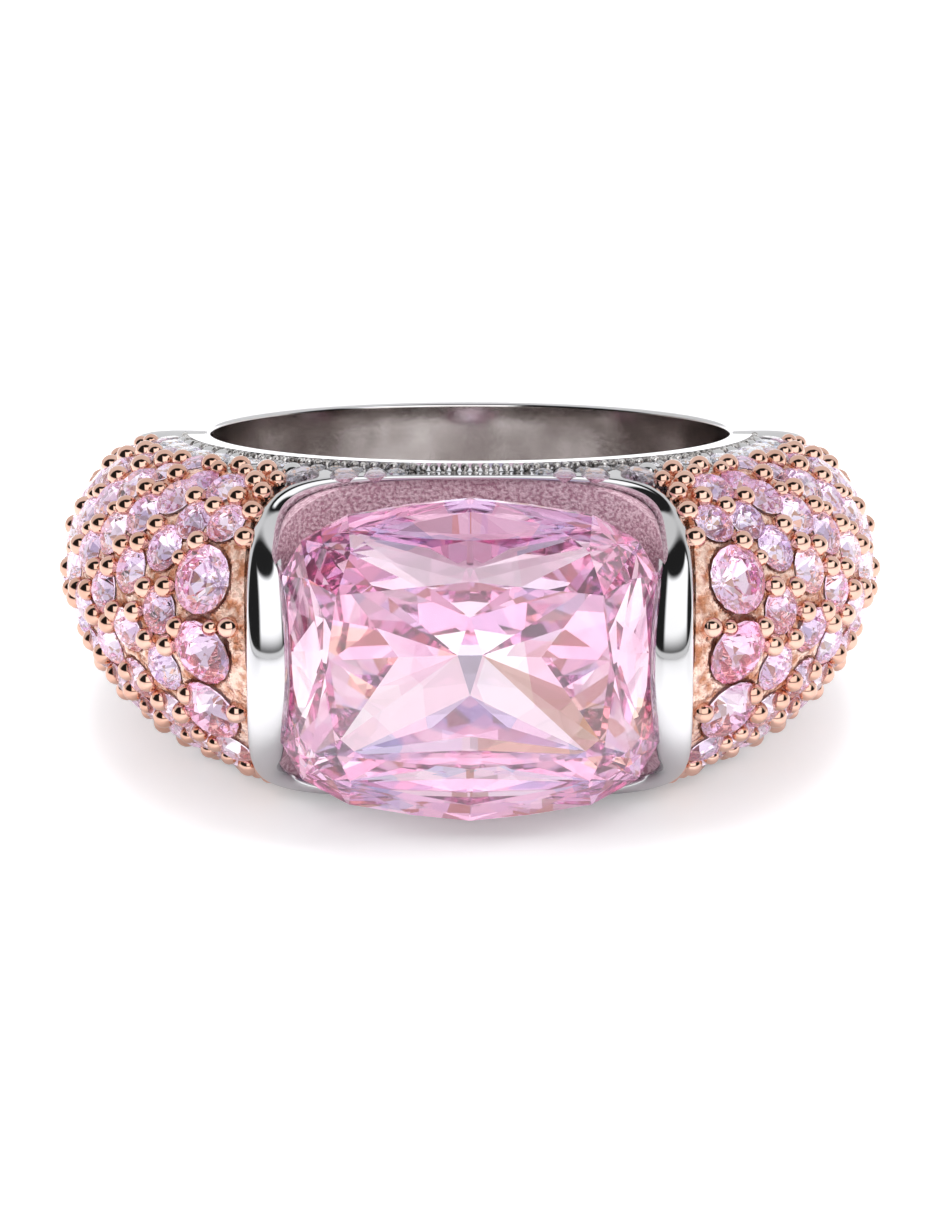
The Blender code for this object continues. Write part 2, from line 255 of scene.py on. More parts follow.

# each tint with the share of the patches that come before it; the tints mix the stones' own pinks with painted fire
# (orange and lavender flashes) and painted dark and bright reflections, such as the dark grey and near-white
# patches of the star facets
centreTintsAndPaintedLight = [(0.0, (0.95, 0.70, 0.82)), (0.30, (0.98, 0.80, 0.88)), (0.45, (0.90, 0.60, 0.75)),
               (0.62, (0.84, 0.72, 0.86)), (0.72, (1.0, 0.90, 0.95)), (0.84, (0.96, 0.74, 0.85)),
               (0.95, (1.0, 0.70, 0.56))]
bandTintsAndPaintedLight = [(0.0, (0.94, 0.80, 0.88)), (0.5, (0.92, 0.72, 0.82)), (0.8, (0.97, 0.87, 0.93))]
fanTintsAndPaintedLight = [(0.0, (0.90, 0.68, 0.80)), (0.35, (0.96, 0.78, 0.88)), (0.60, (0.68, 0.62, 0.78)),
            (0.80, (0.98, 0.84, 0.92))]
paveTintsAndPaintedLight = [(0.0, (0.95, 0.80, 0.90)), (0.30, (0.84, 0.74, 0.88)), (0.50, (0.98, 0.88, 0.95)),
             (0.70, (0.93, 0.74, 0.86)), (0.88, (1.0, 0.95, 0.98))]
largeTintsAndPaintedLight = [(0.0, (0.97, 0.80, 0.90)), (0.35, (0.94, 0.68, 0.82)), (0.60, (1.0, 0.90, 0.95)),
              (0.85, (0.86, 0.72, 0.84))]
starTintsAndPaintedLight = [(0.0, (0.62, 0.54, 0.66)), (0.30, (0.97, 0.92, 0.97)), (0.48, (0.78, 0.62, 0.74)),
             (0.72, (0.90, 0.82, 0.90))]
clearTintsAndPaintedLight = [(0.0, (0.93, 0.94, 0.97)), (0.4, (0.76, 0.78, 0.84)), (0.7, (0.98, 0.98, 1.0))]

gems = {}
for kind, look, tintsAndPaintedLight in (("centre pink", centreLook, centreTintsAndPaintedLight), ("lavender pink", paveLook, paveTintsAndPaintedLight),
                          ("deep pink", largeLook, largeTintsAndPaintedLight), ("colourless", clearLook, clearTintsAndPaintedLight)):
    gems[kind] = [crownMaterial(kind + " crown", look), facetMaterial(kind + " back facets", look, tintsAndPaintedLight)]
gems["lavender pink"].append(facetMaterial("lavender star facets", paveLook, starTintsAndPaintedLight))
gems["deep pink"].append(facetMaterial("grey pink star facets", largeLook, starTintsAndPaintedLight))
gems["colourless"].append(facetMaterial("clear star facets", clearLook, clearTintsAndPaintedLight))
gems["centre pink"].append(facetMaterial("pale corner facets", centreLook, bandTintsAndPaintedLight))
gems["centre pink"].append(facetMaterial("lavender end facets", centreLook, fanTintsAndPaintedLight))
whiteMetal = metalMaterial("white polished metal", whiteLook)
satinMetal = metalMaterial("satin inner wall", satinLook)
frostedMetal = metalMaterial("frosted metal", frostedPinkReflectionLook)
beadGold = metalMaterial("rose gold grains", beadLook)
plateGold = metalMaterial("bright cut rose gold", plateLook)
ledgeMetal = metalMaterial("bright cut white metal", ledgeLook)
print("materials made")


def deselect():
    bpy.ops.object.select_all(action="DESELECT")


def lattice(name, across, along, place):
    # a flat grid whose vertices are then moved to their places; seams that meet are merged
    deselect()
    bpy.ops.mesh.primitive_grid_add(x_subdivisions=across, y_subdivisions=along, size=2)
    piece = bpy.context.object
    piece.name = name
    for vertex in piece.data.vertices:
        vertex.co = lie @ place((vertex.co.x + 1) / 2, (vertex.co.y + 1) / 2)
    bpy.ops.object.mode_set(mode="EDIT")
    bpy.ops.mesh.select_all(action="SELECT")
    bpy.ops.mesh.remove_doubles(threshold=weld)
    bpy.ops.mesh.fill_holes(sides=0)
    bpy.ops.mesh.normals_make_consistent(inside=False)
    bpy.ops.object.mode_set(mode="OBJECT")
    return piece


def polish(piece, degrees):
    deselect()
    piece.select_set(True)
    bpy.context.view_layer.objects.active = piece
    bpy.ops.object.shade_smooth_by_angle(angle=math.radians(degrees))


def settle(piece, material):
    if material and not piece.data.materials:
        piece.data.materials.append(material)
    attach(piece, "root")


def joined(name, pieces):
    deselect()
    for piece in pieces:
        piece.select_set(True)
    bpy.context.view_layer.objects.active = pieces[0]
    bpy.ops.object.join()
    pieces[0].name = name
    return pieces[0]


def copyTo(source, matrix):
    twin = source.copy()
    twin.data = source.data.copy()
    bpy.context.scene.collection.objects.link(twin)
    twin.data.transform(matrix)
    return twin


def crest(theta):
    # how far out the middle of the band stands
    cosine = math.cos(band["frontAngle"])
    back = band["backWall"] - band["sideWall"]
    front = band["frontWall"] - band["sideWall"]
    linear = (front - back * cosine**2) / (cosine + cosine**2)
    turn = math.cos(theta)
    return band["finger"] + band["sideWall"] + linear * turn + (linear + back) * turn * turn


def sideHeight(radius, theta):
    return band["halfWidth"] + math.tan(band["taper"]) * radius * math.cos(theta)


def ringPoint(radius, theta, z):
    return Vector((radius * math.sin(theta), -radius * math.cos(theta), z))


def domePoint(theta, lift, base, sink, full=1.0):
    radius = base + (crest(theta) - sink - base) * abs(math.cos(lift)) ** full
    rise = math.copysign(abs(math.sin(lift)) ** full, lift)
    return ringPoint(radius, theta, (sideHeight(radius, theta) - sink) * rise)


def pocketEnd(lift):
    return band["pocketEnd"] - band["pocketCorner"] * abs(math.sin(lift)) ** band["cornerPower"]


def outline(angle, halfX, halfZ, power):
    across, up = math.cos(angle), math.sin(angle)
    reach = (abs(across / halfX) ** power + abs(up / halfZ) ** power) ** (-1 / power)
    return Vector((reach * across, 0, reach * up))


def bezelEdge(angle):
    return outline(angle, halfLength, halfHeight, head["outlinePower"])


def inward(angle):
    along = bezelEdge(angle + nudge) - bezelEdge(angle - nudge)
    return Vector((-along.z, 0, along.x)).normalized()


shankLook = {
    "innerSteps": 10,
    "roundSteps": 4,
    "outerSteps": 40,
    "frontRows": 120,
    "backRows": 120,
    "stepRun": 0.035,  # share of the back over which the step at the pocket dies away
    "fullRun": 0.45,  # share of the back over which the dome changes its fullness
    "fullSide": 0.76,
    "fullBack": 0.88,
    "satinDepth": 0.01 * mm,
}


def shankSection():
    # once round the section: inner wall, rounded edge, outer side, rounded edge
    inner, turns, outer = shankLook["innerSteps"], shankLook["roundSteps"], shankLook["outerSteps"]
    stops = [("inner", -1 + 2 * step / (inner - 1)) for step in range(inner)]
    stops += [("roundTop", quarterTurn * step / turns) for step in range(1, turns + 1)]
    stops += [("outer", quarterTurn - math.pi * step / outer) for step in range(outer + 1)]
    stops += [("roundBottom", quarterTurn * step / turns) for step in range(1, turns + 1)]
    return stops


def buildShank():
    stops = shankSection()
    rows = [("front", step / shankLook["frontRows"]) for step in range(shankLook["frontRows"] + 1)]
    rows += [("back", step / shankLook["backRows"]) for step in range(shankLook["backRows"] + 1)]
    edge = band["edgeRound"]

    def place(u, v):
        part, value = stops[round(u * len(stops)) % len(stops)]
        side, share = rows[round(v * (len(rows) - 1))]
        lift = value if part == "outer" else quarterTurn
        end = pocketEnd(lift)
        theta = end * (2 * share - 1) if side == "front" else end + (2 * math.pi - 2 * end) * share
        if part == "inner":
            return ringPoint(band["finger"], theta, value * (sideHeight(band["finger"], theta) - edge))
        if part in ("roundTop", "roundBottom"):
            turn = value if part == "roundTop" else quarterTurn - value
            radius = band["finger"] + edge * (1 - math.cos(turn))
            height = sideHeight(radius, theta) - edge * (1 - math.sin(turn))
            return ringPoint(radius, theta, height if part == "roundTop" else -height)
        if side == "front":
            height = sideHeight(band["sleeve"], theta)
            return ringPoint(band["sleeve"], theta, height * math.sin(value))
        away = min(share, 1 - share)
        sink = band["step"] * (1 - smooth(0, shankLook["stepRun"], away))
        full = mix(shankLook["fullSide"], shankLook["fullBack"], smooth(0, shankLook["fullRun"], away))
        return domePoint(theta, value, band["sleeve"], sink, full)

    shank = lattice("bandBody", len(stops), len(rows) - 1, place)
    shank.data.materials.append(whiteMetal)
    shank.data.materials.append(satinMetal)
    back = lie.inverted()
    for face in shank.data.polygons:
        centre = back @ face.center
        if math.hypot(centre.x, centre.y) < band["finger"] + shankLook["satinDepth"]:
            face.material_index = 1  # the finger hole
    polish(shank, 30)
    settle(shank, whiteMetal)
    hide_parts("shank")


buildShank()
print("shank made")


# One polished wall round the stone, wide as two bars beside it, thin above and below
bezel = {
    "barCrest": 1.05 * mm,
    "bombeDrop": 2.90 * mm,
    "rimStand": 0.50 * mm,
    "rimWidth": 0.16 * mm,
    "barWidth": 0.92 * mm,
    "lipReach": 0.48 * mm,
    "lipHalf": 4.30 * mm,
    "lipThickness": 0.12 * mm,
    "lipSlope": 0.3,
    "crown": 0.42,  # height of the rounded front as a share of its width
    "crownPower": 0.8,
    "barPower": 5,
    "seatPower": 2.6,
    "around": 48,
    "arc": 30,  # steps of "around" on the rounded front
    "along": 360,
}


def bezelFront(point):
    bar = head["girdle"] + bezel["barCrest"] - bezel["bombeDrop"] * (point.z / halfHeight) ** 2
    rim = band["sleeve"] + bezel["rimStand"]
    return rim + (bar - rim) * (abs(point.x) / halfLength) ** bezel["barPower"]


def seatReach(point):
    share = (abs(point.x) / halfLength) ** bezel["seatPower"]
    return bezel["rimWidth"] + (bezel["barWidth"] - bezel["rimWidth"]) * share


def lipReach(point):
    if abs(point.x) < head["stoneLength"] / 2 or abs(point.z) > bezel["lipHalf"]:
        return 0.0
    return bezel["lipReach"] * (1 - (point.z / bezel["lipHalf"]) ** 2)


def bandFace(x):
    return math.sqrt((band["sleeve"] + head["gap"]) ** 2 - x**2)


def buildBezel():
    count, arc = bezel["around"], bezel["arc"]

    def place(u, v):
        angle = 2 * math.pi * (v % 1.0)
        outer = bezelEdge(angle)
        into = inward(angle)
        front = bezelFront(outer)
        seat = seatReach(outer)
        width = seat + lipReach(outer)
        crown = bezel["crown"] * seat
        step = round((u % 1.0) * count)
        if step <= arc:  # half-round front from the outer to the inner edge
            turn = math.pi * step / arc
            across = width * (1 - math.cos(turn)) / 2
            behind = crown * (1 - math.sin(turn) ** bezel["crownPower"])
        else:
            share = (step - arc) / (count - arc)
            outerDepth = front - bandFace(outer.x)
            seatDepth = front - bandFace((outer + into * seat).x)
            lip = crown + bezel["lipThickness"]
            slope = lip + bezel["lipSlope"] * (width - seat)
            path = [(width, crown), (width, lip), (seat, slope), (seat, seatDepth), (0.0, outerDepth), (0.0, crown)]
            spot = share * (len(path) - 1)
            first = min(len(path) - 2, int(spot))
            across = mix(path[first][0], path[first + 1][0], spot - first)
            behind = mix(path[first][1], path[first + 1][1], spot - first)
        return outer + into * across + Vector((0, behind - front, 0))

    piece = lattice("bezelFrame", count, bezel["along"], place)
    polish(piece, 40)
    settle(piece, whiteMetal)
    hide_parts("bezel_bar_left", "bezel_bar_right", "bezel_rim_upper", "bezel_rim_lower")


buildBezel()
print("bezel made")


backFacing = -0.05  # a facet whose normal points further back than this is a back facet


# Stones are corner points pulled tight by a convex hull, with flat facets between them
def cutStone(name, corners, kind, mirrored):
    deselect()
    bpy.ops.mesh.primitive_cube_add(size=0.1 * mm)
    gem = bpy.context.object
    gem.name = name
    signs = ((1, 1), (-1, 1), (-1, -1), (1, -1)) if mirrored else ((1, 1),)
    points = [(x * signX * mm, y * signY * mm, up * mm) for x, y, up in corners for signX, signY in signs]
    gem.data.clear_geometry()
    gem.data.from_pydata(points, [], [])
    bpy.ops.object.mode_set(mode="EDIT")
    bpy.ops.mesh.select_all(action="SELECT")
    bpy.ops.mesh.remove_doubles(threshold=2 * weld)
    bpy.ops.mesh.convex_hull()
    bpy.ops.mesh.dissolve_limited(angle_limit=math.radians(0.6))
    bpy.ops.mesh.normals_make_consistent(inside=False)
    bpy.ops.object.mode_set(mode="OBJECT")
    for material in gems[kind]:
        gem.data.materials.append(material)
    for face in gem.data.polygons:
        face.material_index = 1 if face.normal.z < backFacing else 0
    return gem


def ringOf(count, radius, up, turn):
    angles = [2 * math.pi * (step + turn) / count for step in range(count)]
    return [(radius * math.cos(angle), radius * math.sin(angle), up) for angle in angles]


brilliant = {
    # a round stone of radius 1: corners in each ring, its radius, its height, and its turn in steps
    "girdle": [(16, 1.0, 0.0, 0.0), (16, 1.0, -0.05, 0.0)],
    "crown": [(8, 0.79, 0.20, 0.0), (8, 0.56, 0.32, 0.5)],
    "back": [(8, 0.50, -0.48, 0.5)],
    "culet": -0.82,
    "star": 0.42 * mm,
}


def buildBrilliant(kind):
    rings = brilliant["girdle"] + brilliant["crown"] + brilliant["back"]
    corners = [corner for ring in rings for corner in ringOf(*ring)] + [(0, 0, brilliant["culet"])]
    gem = cutStone("brilliant " + kind, corners, kind, False)
    for face in gem.data.polygons:
        if face.material_index and face.center.xy.length < brilliant["star"]:
            face.material_index = 2  # the star of inner facets
    return gem


centre = {
    # one quarter of the cut, (across, up, out) from the middle of the girdle
    "table": [(0.0, 3.10, 1.72), (4.25, 2.65, 1.72), (4.62, 0.0, 1.72)],
    "crown": [(3.80, 3.87, 0.90), (5.15, 2.97, 0.90)],
    "girdle": [(0.0, 5.35), (1.9, 5.15), (3.9, 4.80), (5.4, 3.95), (6.0, 2.85), (6.05, 0.0)],
    "girdleHalf": 0.12,
    "back": [(0.0, 0.0, -2.98), (0.40, 0.0, -2.98), (3.72, 3.05, -1.80), (4.16, 2.66, -1.82),
             (0.0, 1.30, -2.66), (0.0, 2.60, -2.18), (1.20, 2.30, -2.24), (0.0, 4.20, -1.14),
             (1.90, 4.05, -1.12), (2.30, 0.0, -2.50), (4.50, 0.0, -1.70), (3.00, 1.00, -2.30),
             (4.95, 1.50, -1.42)],
    "backLift": 0.01,
    "fanSlope": 0.95,
    "bandSlope": 0.55,
    "bandReach": 3.6 * mm,
}


def buildCentreStone():
    half = centre["girdleHalf"]
    corners = [(x, y, up + half) for x, y, up in centre["table"] + centre["crown"]]
    corners += [(x, y, level) for x, y in centre["girdle"] for level in (half, -half)]
    corners += [(x, y, up - half + centre["backLift"]) for x, y, up in centre["back"]]
    gem = cutStone("cushionStone", corners, "centre pink", True)
    for face in gem.data.polygons:
        across, up = abs(face.center.x), abs(face.center.y)
        if face.material_index and up > centre["fanSlope"] * across:
            face.material_index = 3  # the fans above and below the keel
        elif face.material_index and up > centre["bandSlope"] * across and across < centre["bandReach"]:
            face.material_index = 2  # the four bands from the keel to the corners
    planes = [(face.normal / face.normal.z, face.center.dot(face.normal) / face.normal.z)
              for face in gem.data.polygons if face.normal.z < backFacing]
    gem.data.transform(lie @ Matrix.Translation((0, -head["girdle"], 0)) @ Matrix.Rotation(quarterTurn, 4, "X"))
    settle(gem, None)
    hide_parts("centre_stone")
    print("centre stone facets", len(gem.data.polygons))
    return planes


backPlanes = buildCentreStone()  # the planes of the back facets, which the seat follows


# The frosted seat under the stone, with a window in its middle
gallery = {
    "underRim": 0.2 * mm,
    "seatDrop": 0.35 * mm,
    "risePower": 4,
    "windowX": 2.40 * mm,
    "windowZ": 1.85 * mm,
    "windowPower": 3.0,
    "windowSides": 48,
    "clear": 0.12 * mm,
    "overSleeve": 0.05 * mm,
    "lowerDrop": 1.3 * mm,
    "dropFrom": -3.0 * mm,
    "dropTo": -4.4 * mm,
    "underBezel": 0.02 * mm,
    "rings": 24,
    "around": 160,
}


def windowEdge(angle):
    return outline(angle, gallery["windowX"], gallery["windowZ"], gallery["windowPower"])


def galleryFront(point):
    trough = band["sleeve"] + bezel["rimStand"] - gallery["underRim"]
    rise = head["girdle"] - gallery["seatDrop"] - trough
    share = abs(point.x) / (head["stoneLength"] / 2 + head["gap"])
    floor = trough + rise * share ** gallery["risePower"]
    behind = max(reach - lean[0] * point.x - lean[1] * point.z for lean, reach in backPlanes)
    floor -= gallery["lowerDrop"] * smooth(gallery["dropFrom"], gallery["dropTo"], point.z)
    floor = min(floor, head["girdle"] + behind - gallery["clear"])
    return max(floor, bandFace(point.x) + gallery["overSleeve"])


def buildGallery():
    rings = gallery["rings"]

    def place(u, v):
        angle = 2 * math.pi * (u % 1.0)
        outer = bezelEdge(angle)
        edge = outer + inward(angle) * (seatReach(outer) - gallery["underBezel"])
        hole = windowEdge(angle)
        row = round((v % 1.0) * 2 * rings)
        if row <= rings:
            point = hole.lerp(edge, row / rings)
            return Vector((point.x, -galleryFront(point), point.z))
        point = hole.lerp(edge, (2 * rings - row) / (rings - 1))
        return Vector((point.x, -bandFace(point.x), point.z))

    piece = lattice("frostedSeat", gallery["around"], 2 * rings, place)
    polish(piece, 40)
    settle(piece, frostedMetal)
    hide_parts("gallery")


def cutWindow(piece):
    # the window under the stone goes on through the sleeve to the finger hole
    deselect()
    bpy.ops.mesh.primitive_cylinder_add(vertices=gallery["windowSides"], radius=1.0, depth=1.0)
    cutter = bpy.context.object
    for vertex in cutter.data.vertices:
        edge = windowEdge(math.atan2(vertex.co.y, vertex.co.x))
        reach = head["girdle"] if vertex.co.z > 0 else band["finger"] / 2
        vertex.co = lie @ Vector((edge.x, -reach, edge.z))
    bpy.ops.object.mode_set(mode="EDIT")
    bpy.ops.mesh.select_all(action="SELECT")
    bpy.ops.mesh.normals_make_consistent(inside=False)
    bpy.ops.object.mode_set(mode="OBJECT")
    deselect()
    piece.select_set(True)
    bpy.context.view_layer.objects.active = piece
    window = piece.modifiers.new("window", "BOOLEAN")
    window.object = cutter
    bpy.ops.object.modifier_apply(modifier="window")
    bpy.data.objects.remove(cutter)
    polish(piece, 30)


buildGallery()
cutWindow(bpy.data.objects["bandBody"])
print("gallery made")


# The pave shoulders: a plate with sunk seats, its stones, and grains on the metal between them
pave = {
    "sink": 0.30 * mm,
    "fullAbove": 0.12 * mm,
    "leanBelow": 0.40 * mm,
    "inner": 9.50 * mm,
    "firstColumn": 1.80 * mm,
    "secondColumn": 3.80 * mm,
    "pitch": 1.75 * mm,
    "rowPitch": 0.235,
    "firstRowPitch": 0.265,
    "edgeRows": 0.66,
    "large": 2.28 * mm,
    "small": 1.60 * mm,
    "edge": 1.06 * mm,
    "columns": 10,
    "endRadius": 12 * mm,
    "nearBar": [(0.90, 0.50, 1.45), (2.55, 0.49, 1.45), (1.15, 0.68, 1.45), (2.70, 0.69, 1.25)],  # run, share, size
    "overHead": [(30.0, 0.83, 1.20), (22.5, 0.87, 0.95), (17.0, 0.89, 0.75)],  # angle, share, size
    "stoneStand": 0.02 * mm,
    "startLow": math.radians(10.0),
    "startHigh": math.radians(60),
    "endGap": 0.004,
    "underside": 0.12,  # share of the lattice that makes the underside
    "seatWide": 1.04,
    "seatEdge": 0.10,
    "seatDepth": 0.86,
    "topFrom": 0.02 * mm,
    "across": 230,
    "along": 200,
    "whiteFrom": 0.86,
    "whiteWithin": 11.2 * mm,
}


def plateStart(lift):
    # the angle at which the plate meets the outer face of the bezel
    low, high = pave["startLow"], pave["startHigh"]
    power = head["outlinePower"]
    for step in range(40):
        middle = (low + high) / 2
        point = domePoint(middle, lift, pave["inner"], pave["sink"])
        across, up = point.x / (halfLength + head["gap"]), abs(point.z) / (halfHeight + head["gap"])
        low, high = (middle, high) if across**power + up**power < 1 else (low, middle)
    return (low + high) / 2


def columnAngle(run, lift):
    crown = band["finger"] + band["frontWall"] - pave["sink"]
    radius = pave["inner"] + (crown - pave["inner"]) * math.cos(lift)
    return math.asin((halfLength + head["gap"]) / radius) + run / crown


def platePoint(side, theta, lift):
    # the shoulders are fuller above their middle than below it
    point = domePoint(theta, lift, pave["inner"], pave["sink"])
    swell = (pave["fullAbove"] if lift > 0 else -pave["leanBelow"]) * abs(math.sin(2 * lift)) ** 0.8
    point += ringPoint(swell * math.cos(lift), theta, swell * math.sin(lift))
    return Vector((side * point.x, point.y, point.z))


def plateFrame(side, theta, lift):
    here = platePoint(side, theta, lift)
    around = platePoint(side, theta + nudge, lift) - platePoint(side, theta - nudge, lift)
    along = platePoint(side, theta, lift + nudge) - platePoint(side, theta, lift - nudge)
    return here, (around.cross(along) * side).normalized()


def stoneLayout():
    layout = []
    for column in range(pave["columns"]):
        run = pave["secondColumn"] + pave["pitch"] * (column - 1) if column else pave["firstColumn"]
        pitch = pave["rowPitch"] if column else pave["firstRowPitch"]
        rows = range(-3, 4) if column % 2 == 0 else range(-4, 4)
        if column == 0:
            rows = range(-1, 2)
        for row in rows:
            share = pitch * (row if column % 2 == 0 else row + 0.5)
            lift = share * quarterTurn
            size = pave["edge"] if abs(share) > pave["edgeRows"] else pave["small"]
            if column == 0:
                size = pave["large"]
            theta = columnAngle(run, lift)
            if theta + size / 2 / pave["endRadius"] < pocketEnd(lift):
                layout.append({"column": column, "theta": theta, "lift": lift, "size": size})
    for sign in (-1, 1):
        for run, share, size in pave["nearBar"]:
            lift = sign * share * quarterTurn
            layout.append({"column": 0, "theta": columnAngle(run * mm, lift), "lift": lift, "size": size * mm})
        for theta, share, size in pave["overHead"]:
            lift = sign * share * quarterTurn
            layout.append({"column": -1, "theta": math.radians(theta), "lift": lift, "size": size * mm})
    return layout


edgeRow = {
    # pairs run from the small stones by the head to the big ones; size, gap and radius in millimetres
    "span": (math.radians(14), math.radians(86)),
    "growth": (math.radians(40), math.radians(66)),
    "size": (0.62, 1.08),
    "gap": 0.06,
    "radius": (9.8, 10.6),
    "height": (0.955, 0.905),
}


def edgeLayout():
    # the colourless row that follows the finger hole
    layout = []
    theta, end = edgeRow["span"]
    while theta < end:
        big = smooth(*edgeRow["growth"], theta)
        size = mix(*edgeRow["size"], big)
        for sign in (-1, 1):
            lift = sign * mix(*edgeRow["height"], big) * quarterTurn
            layout.append({"theta": theta, "lift": lift, "size": size * mm})
        theta += (size + edgeRow["gap"]) / mix(*edgeRow["radius"], big)
    return layout


def setStone(cut, stone, spot, out):
    turn = out.to_track_quat("Z", "Y").to_matrix().to_4x4()
    matrix = lie @ Matrix.Translation(spot + out * pave["stoneStand"]) @ turn
    return copyTo(cut, matrix @ Matrix.Scale(stone["size"] / 2 / mm, 4))


def buildShoulder(name, side, cuts):
    cadStones = [f"pave_{name.lower()}_{column}_{row}" for column in range(4) for row in range(8)]
    cadStones = [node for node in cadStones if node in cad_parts]
    stones = stoneLayout()
    edges = edgeLayout()
    places = [plateFrame(side, stone["theta"], stone["lift"]) for stone in stones + edges]
    centres = np.array([place[0] for place in places])
    outward = np.array([place[1] for place in places])
    radii = np.array([stone["size"] / 2 for stone in stones + edges])
    starts = {}
    inner = pave["underside"]

    def place(u, v):
        lift = (2 * v - 1) * quarterTurn
        key = round(v * pave["along"])
        if key not in starts:
            starts[key] = plateStart(lift)
        start, end = starts[key], pocketEnd(lift) - pave["endGap"]
        if u <= 1 - inner:
            return platePoint(side, mix(start, end, u / (1 - inner)), lift)
        share = (u - 1 + inner) / inner
        if share > 0.999:
            return platePoint(side, start, lift)
        theta = mix(end, start, max(0.0, (share - 0.1) / 0.9))
        height = (sideHeight(pave["inner"], theta) - pave["sink"]) * math.sin(lift)
        point = ringPoint(pave["inner"], theta, height)
        return Vector((side * point.x, point.y, point.z))

    plate = lattice("plate" + name, pave["across"], pave["along"], place)
    # sink a seat under every stone, and note how wide the metal is between them
    count = len(plate.data.vertices)
    coords = np.empty(count * 3)
    plate.data.vertices.foreach_get("co", coords)
    coords = coords.reshape(-1, 3)
    turn = np.array(lie.inverted().to_3x3())
    local = (coords - np.array(lie.translation)) @ turn.T
    moved = local.copy()
    gaps = np.full(count, 1.0)
    for index in range(len(places)):
        offset = local - centres[index]
        above = offset @ outward[index]
        flat = np.linalg.norm(offset - above[:, None] * outward[index], axis=1)
        wide = radii[index] * pave["seatWide"]
        near = (np.abs(above) < radii[index]) & (flat < wide)
        share = 1 - flat[near] / wide
        depth = radii[index] * (pave["seatEdge"] + pave["seatDepth"] * share)
        moved[near] = local[near] - depth[:, None] * outward[index]
        close = np.abs(above) < 2 * radii[index]
        gaps[close] = np.minimum(gaps[close], flat[close] - radii[index])
    radiusHere = np.hypot(local[:, 0], local[:, 1])
    onTop = radiusHere > pave["inner"] + pave["topFrom"]
    moved[~onTop] = local[~onTop]
    coords = moved @ turn + np.array(lie.translation)
    plate.data.vertices.foreach_set("co", coords.ravel())
    plate.data.update()
    plate.data.materials.append(plateGold)
    plate.data.materials.append(ledgeMetal)
    for face in plate.data.polygons:
        centre = local[face.vertices[0]]
        radius = math.hypot(centre[0], centre[1])
        theta = math.atan2(abs(centre[0]), -centre[1])
        high = abs(centre[2]) > pave["whiteFrom"] * (sideHeight(radius, theta) - pave["sink"])
        if high and radius < pave["whiteWithin"]:
            face.material_index = 1
    polish(plate, 50)
    settle(plate, plateGold)
    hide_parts("shoulder_" + name.lower())

    groups = {}
    for stone, (spot, out) in zip(stones, places):
        cut = cuts["deep pink"] if stone["size"] == pave["large"] else cuts["lavender pink"]
        groups.setdefault(stone["column"], []).append(setStone(cut, stone, spot, out))
    for column, members in groups.items():
        label = f"pave{name}Column{column}" if column >= 0 else f"pave{name}Crown"
        names = [node for node in cadStones if node.startswith(f"pave_{name.lower()}_{column}_")]
        piece = joined(label, members)
        settle(piece, None)
        if names:
            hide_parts(*names)
    clear = [setStone(cuts["colourless"], stone, spot, out)
             for stone, (spot, out) in zip(edges, places[len(stones):])]
    settle(joined("edgeStones" + name, clear), None)
    return onTop, local, gaps


grain = {
    "gap": 0.09 * mm,  # narrower metal carries no grain
    "wideGap": 0.5 * mm,  # wider metal takes grains as if it were plainGap wide
    "plainGap": 0.19 * mm,
    "forGap": 1.9,
    "least": 0.29 * mm,
    "most": 0.38 * mm,
    "apart": 1.05,
    "tries": 40000,
    "barStrip": 0.45 * mm,
    "tightStrip": 2.2,
    "tightGap": 0.28 * mm,
    "stripHeight": 3.8 * mm,
    "cutBelow": 0.35 * mm,
    "goldRise": 0.10 * mm,
    "whiteRise": -0.12 * mm,
    "whiteWithin": 11.0 * mm,
}


def grainPlaces(onTop, local, gaps):
    # the widest metal first
    order = np.argsort(-np.where(onTop, gaps, -1))
    spots, sizes = [], []
    for index in order[:grain["tries"]]:
        gap = gaps[index]
        if gap < grain["gap"]:
            break
        if gap > grain["wideGap"]:
            gap = grain["plainGap"]
        radius = min(grain["most"], max(grain["least"], gap * grain["forGap"]))
        spot = local[index]
        fromBar = abs(spot[0]) - halfLength
        tight = fromBar < grain["tightStrip"] * grain["barStrip"] and gaps[index] < grain["tightGap"]
        if abs(spot[2]) < grain["stripHeight"] and (fromBar < grain["barStrip"] or tight):
            continue
        if spots:
            away = np.linalg.norm(np.array(spots) - spot, axis=1)
            if (away < (np.array(sizes) + radius) * grain["apart"]).any():
                continue
        spots.append(spot)
        sizes.append(radius)
    return zip(spots, sizes)


